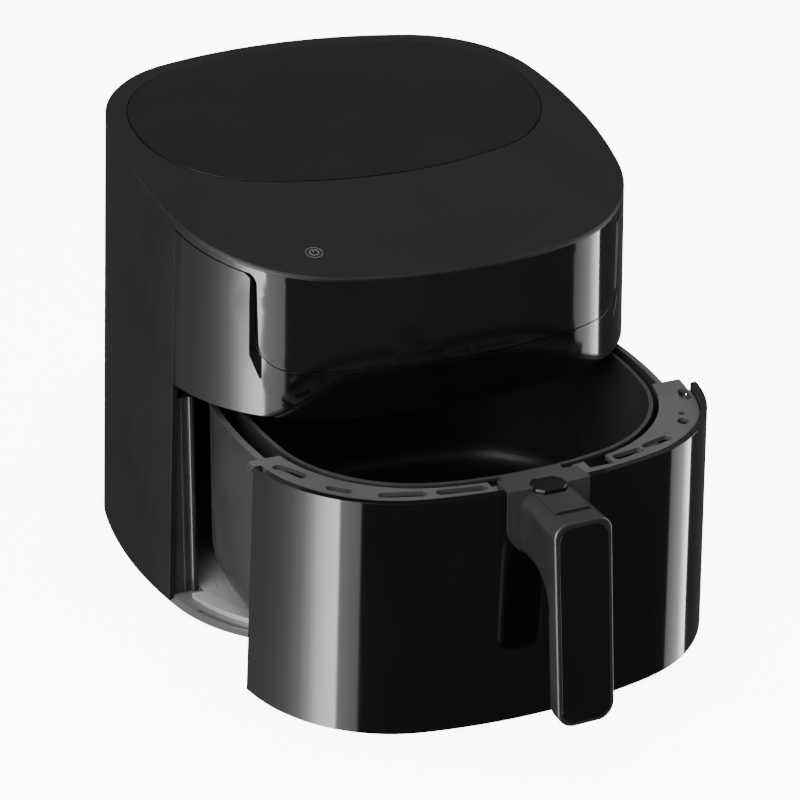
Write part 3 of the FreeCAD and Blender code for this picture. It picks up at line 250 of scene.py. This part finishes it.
FINISHES = {
    "housing_skin": textured_plastic("housing_skin", lighter(BLACK, 0.6), 0.44, sheen=0.35),
    "cap_skin": textured_plastic("cap_skin", lighter(BLACK, 0.72), 0.46, sheen=0.35),
    "insert_skin": textured_plastic("insert_skin", lighter(BLACK, 0.42), 0.44, grain=0.35 * MM, sheen=0.35),
    "grille_skin": textured_plastic("grille_skin", lighter(BLACK, 0.9), 0.55),
    "liner_skin": textured_plastic("liner_skin", (0.012, 0.012, 0.012), 0.55, sheen=0.3),
    "grip_skin": textured_plastic("grip_skin", (0.017, 0.017, 0.018), 0.32, grain=0.3 * MM, depth=0.01 * MM),
    "mount_skin": textured_plastic("mount_skin", (0.024, 0.024, 0.025), 0.42, grain=0.35 * MM),
    "cover_skin": textured_plastic("cover_skin", (0.018, 0.018, 0.019), 0.32, grain=0.3 * MM, depth=0.01 * MM),
    "button_skin": textured_plastic("button_skin", (0.003, 0.003, 0.003), 0.40, grain=0.3 * MM, sheen=0.3),
    "pillar_skin": textured_plastic("pillar_skin", (0.028, 0.028, 0.029), 0.28),
    "grey_skin": textured_plastic("grey_skin", GREY, 0.42),
    "lip_skin": textured_plastic("lip_skin", lighter(GREY, 2.0), 0.32),
    "part_skin": textured_plastic("part_skin", (0.02, 0.02, 0.024), 0.5),
    "band_gloss": gloss_plastic("band_gloss", GLOSS, 0.075),
    "visor_gloss": gloss_plastic("visor_gloss", lighter(GLOSS, 2.0), 0.055),
    "panel_gloss": gloss_plastic("panel_gloss", GLOSS, 0.065),
    "inlay_gloss": gloss_plastic("inlay_gloss", lighter(GLOSS, 0.9), 0.10),
    "pan_coat": coated_metal("pan_coat", (0.047, 0.047, 0.048), 0.34),
    "basket_coat": coated_metal("basket_coat", (0.022, 0.022, 0.023), 0.40),
    "cavity_sheet": sheet_metal("cavity_sheet", BRIGHT, 0.32, grain=(1.0, 0.04, 1.0), metallic=0.5),
    "plated_sheet": sheet_metal("plated_sheet", BRIGHT, 0.32, grain=(1.0, 0.04, 1.0)),
    "screw_steel": sheet_metal("screw_steel", (0.5, 0.5, 0.52), 0.28),
    "fan_sheet": sheet_metal("fan_sheet", (0.7, 0.7, 0.72), 0.3, grain=(0.2, 1.0, 1.0)),
    "bush_brass": sheet_metal("bush_brass", (0.72, 0.52, 0.24), 0.3),
    "heater_sheath": heated_metal("heater_sheath", (0.2, 0.19, 0.19), (0.16, 0.11, 0.13)),
    "rubber": soft_rubber("rubber", (0.012, 0.012, 0.012)),
    "board": laminate("board", (0.02, 0.11, 0.045), (0.06, 0.22, 0.1)),
    "windings": wound_copper("windings", (0.62, 0.27, 0.12), (0.2, 0.08, 0.05)),
    "sleeve": braided_sleeve("sleeve", (0.22, 0.22, 0.23)),
    "print": ink("print", (0.11, 0.11, 0.115)),
}

SLOT_FINISH = {
    "matte_black": "housing_skin",
    "gloss_black": "panel_gloss",
    "grey_plastic": "grey_skin",
    "rubber": "rubber",
    "nonstick_coat": "pan_coat",
    "nonstick_black": "basket_coat",
    "bright_sheet": "plated_sheet",
    "steel": "screw_steel",
    "heater_sheath": "heater_sheath",
    "aluminium": "fan_sheet",
    "brass": "bush_brass",
    "board": "board",
    "component": "part_skin",
    "wire_sleeve": "sleeve",
    "print_grey": "print",
    "copper_core": "windings",
}

NODE_FINISH = {
    "top_cap": "cap_skin",
    "top_insert": "insert_skin",
    "rear_outlet_grille": "grille_skin",
    "cavity_liner": "liner_skin",
    "cavity_floor": "cavity_sheet",
    "front_sill": "cavity_sheet",
    "front_pillars": "pillar_skin",
    "base_tray": "lip_skin",
    "upper_front_band": "band_gloss",
    "control_visor": "visor_gloss",
    "handle_mount": "mount_skin",
    "handle_body": "grip_skin",
    "neck_cover": "cover_skin",
    "release_button": "button_skin",
    "grip_inlay": "inlay_gloss",
}


def dress():
    """Gives every CAD node the finish of its slot, or its own."""
    for part in frame["record"]["subparts"]:
        node = frame["nodes"][part["node"]]
        finish = NODE_FINISH.get(part["node"], SLOT_FINISH[part["material_slot"]])
        node.data.materials.clear()
        node.data.materials.append(FINISHES[finish])


# ---- studio ----------------------------------------------------------------------------
CAMERA_PLACE = Vector((-0.5610, -1.2584, 0.7658))
CAMERA_AZIMUTH = -24.999
CAMERA_ELEVATION = 26.237
CAMERA_ROLL = 1.076
CAMERA_LENS = 109.21
CAMERA_SENSOR = 36.0
CAMERA_REACH = (0.05, 200.0)
STUDIO = Vector((0.0, -0.15, 0.0))

# Radiance over azimuth, for the two upright strip lights.
LEFT_PROFILE = [
    (-135.0, 0.3), (-120.0, 0.5), (-108.0, 0.8), (-97.0, 1.4), (-87.0, 2.8), (-80.0, 5.6),
    (-74.0, 11.5), (-69.0, 15.5), (-60.6, 19.5), (-59.4, 3.2), (-45.0, 2.2)]
RIGHT_PROFILE = [(60.0, 0.9), (80.0, 2.2), (92.0, 6.5), (100.0, 11.0)]

# The right strip is near the object, turned and narrowed.
RIGHT_PLACE = Vector((0.566, -0.268, -0.1))
RIGHT_FACING = Vector((0.72, -0.69, 0.0))
RIGHT_WIDE = 0.284

# The surroundings grow brighter from below the horizon to high above it.
WORLD_SPAN = (-0.5, 0.6)
WORLD_LIGHT = (0.09, 0.22)

FLOOR_HALF = 30.0
FLOOR_GLOW = 9.0
FLOOR_LIT = 0.6


def heading(azimuth, elevation=0.0):
    """The unit vector towards an azimuth, 0 being the front and 90 the right."""
    a = math.radians(azimuth)
    e = math.radians(elevation)
    return Vector((math.sin(a) * math.cos(e), -math.cos(a) * math.cos(e), math.sin(e)))


def link(obj):
    bpy.context.scene.collection.objects.link(obj)
    return obj


def make_camera():
    camera = link(bpy.data.objects.new("camera", bpy.data.cameras.new("camera")))
    back = heading(CAMERA_AZIMUTH, CAMERA_ELEVATION)
    turn = (-back).to_track_quat("-Z", "Y") @ Matrix.Rotation(math.radians(CAMERA_ROLL), 3, "Z").to_quaternion()
    camera.rotation_mode = "QUATERNION"
    camera.rotation_quaternion = turn
    camera.location = CAMERA_PLACE
    camera.data.lens = CAMERA_LENS
    camera.data.sensor_width = CAMERA_SENSOR
    camera.data.clip_start, camera.data.clip_end = CAMERA_REACH
    bpy.context.scene.camera = camera


def softbox(name, azimuths, distance, heights, profile):
    """An upright strip seen only in reflections, whose radiance follows (azimuth, value) pairs."""
    a0, a1 = azimuths
    middle = (a0 + a1) / 2
    half = distance * math.tan(math.radians((a1 - a0) / 2))
    high = heights[1] - heights[0]
    peak = max(value for _, value in profile)
    data = bpy.data.lights.new(name, "AREA")
    data.shape = "RECTANGLE"
    data.size = 2 * half
    data.size_y = high
    data.energy = math.pi * data.size * high * peak
    data.use_nodes = True
    tree = data.node_tree
    emission = tree.nodes["Emission"]
    geometry = tree.nodes.new("ShaderNodeNewGeometry")
    split = tree.nodes.new("ShaderNodeSeparateXYZ")
    ramp = tree.nodes.new("ShaderNodeValToRGB")
    tree.links.new(geometry.outputs["Parametric"], split.inputs[0])
    tree.links.new(split.outputs[0], ramp.inputs[0])
    tree.links.new(ramp.outputs[0], emission.inputs["Color"])
    stops = ramp.color_ramp.elements
    while len(stops) < len(profile):
        stops.new(0.5)
    places = []
    for azimuth, value in profile:
        across = distance * math.tan(math.radians(azimuth - middle)) / (2 * half) + 0.5
        places.append((across, value / peak))
    for stop, (across, level) in zip(stops, sorted(places)):
        stop.position = across
        stop.color = (level, level, level, 1.0)
    light = link(bpy.data.objects.new(name, data))
    light.location = STUDIO + heading(middle) * distance + Vector((0, 0, sum(heights) / 2))
    light.rotation_mode = "QUATERNION"
    light.rotation_quaternion = heading(middle).to_track_quat("Z", "Y")
    light.visible_diffuse = False
    light.visible_camera = False
    return light


def panel_light(name, azimuth, elevation, distance, size, radiance, glossy=False):
    """A square soft light that looks at the object, kept out of reflections unless glossy."""
    data = bpy.data.lights.new(name, "AREA")
    data.shape = "SQUARE"
    data.size = size
    data.energy = math.pi * size * size * radiance
    light = link(bpy.data.objects.new(name, data))
    aim = heading(azimuth, elevation)
    light.location = CENTRE + aim * distance
    light.rotation_mode = "QUATERNION"
    light.rotation_quaternion = aim.to_track_quat("Z", "Y")
    light.visible_camera = False
    light.visible_glossy = glossy
    return light


def make_lights():
    softbox("left_softbox", (-135.0, -45.0), 2.0, (-1.9, 1.6), LEFT_PROFILE)
    right = softbox("right_softbox", (60.0, 100.0), 0.55, (-0.9, 0.5), RIGHT_PROFILE)
    right.location = RIGHT_PLACE
    right.rotation_quaternion = RIGHT_FACING.to_track_quat("Z", "Y")
    right.data.size = RIGHT_WIDE
    panel_light("top_softbox", -30.0, 80.0, 1.9, 1.6, 1.4, glossy=True)
    panel_light("top_fill", 0.0, 88.0, 2.0, 2.0, 4.6)
    panel_light("left_fill", -60.0, 30.0, 2.2, 1.8, 5.0, glossy=True)
    panel_light("front_fill", 5.0, 30.0, 2.2, 1.6, 0.8)
    panel_light("table_bounce", 0.0, -89.0, 1.4, 3.0, 0.8)


def make_world():
    """Dim surroundings for the object, and a pale backdrop for the camera."""
    world = bpy.data.worlds.new("studio")
    bpy.context.scene.world = world
    world.use_nodes = True
    tree = world.node_tree
    lit = tree.nodes["Background"]
    lit.inputs["Color"].default_value = (1.0, 1.0, 1.0, 1.0)
    place = tree.nodes.new("ShaderNodeTexCoord")
    split = tree.nodes.new("ShaderNodeSeparateXYZ")
    rise = tree.nodes.new("ShaderNodeMapRange")
    tree.links.new(place.outputs["Generated"], split.inputs[0])
    tree.links.new(split.outputs["Z"], rise.inputs["Value"])
    rise.inputs["From Min"].default_value, rise.inputs["From Max"].default_value = WORLD_SPAN
    rise.inputs["To Min"].default_value, rise.inputs["To Max"].default_value = WORLD_LIGHT
    tree.links.new(rise.outputs["Result"], lit.inputs["Strength"])
    pale = tree.nodes.new("ShaderNodeBackground")
    pale.inputs["Strength"].default_value = FLOOR_GLOW + FLOOR_LIT
    path = tree.nodes.new("ShaderNodeLightPath")
    mix = tree.nodes.new("ShaderNodeMixShader")
    tree.links.new(path.outputs["Is Camera Ray"], mix.inputs["Fac"])
    tree.links.new(lit.outputs[0], mix.inputs[1])
    tree.links.new(pale.outputs[0], mix.inputs[2])
    tree.links.new(mix.outputs[0], tree.nodes["World Output"].inputs["Surface"])


def make_floor():
    """A pale table top that the object stands on, kept out of the object's reflections."""
    mesh = bpy.data.meshes.new("floor")
    corners = [(x, y, 0.0) for x, y in ((-1, -1), (1, -1), (1, 1), (-1, 1))]
    mesh.from_pydata([Vector(c) * FLOOR_HALF for c in corners], [], [(0, 1, 2, 3)])
    floor = link(bpy.data.objects.new("floor", mesh))
    g = Graph("floor")
    grain = g.noise(3 * MM, detail=2.0)
    colour = g.blend(grain, (0.78, 0.78, 0.78), (0.82, 0.82, 0.82))
    g.feed(g.shader, Base_Color=colour, Roughness=0.8, Emission_Color=(1.0, 1.0, 1.0, 1.0),
           Emission_Strength=FLOOR_GLOW)
    mesh.materials.append(g.material)
    floor.visible_diffuse = False
    floor.visible_glossy = False
    floor.visible_shadow = False


dress()
make_camera()
make_lights()
make_world()
make_floor()
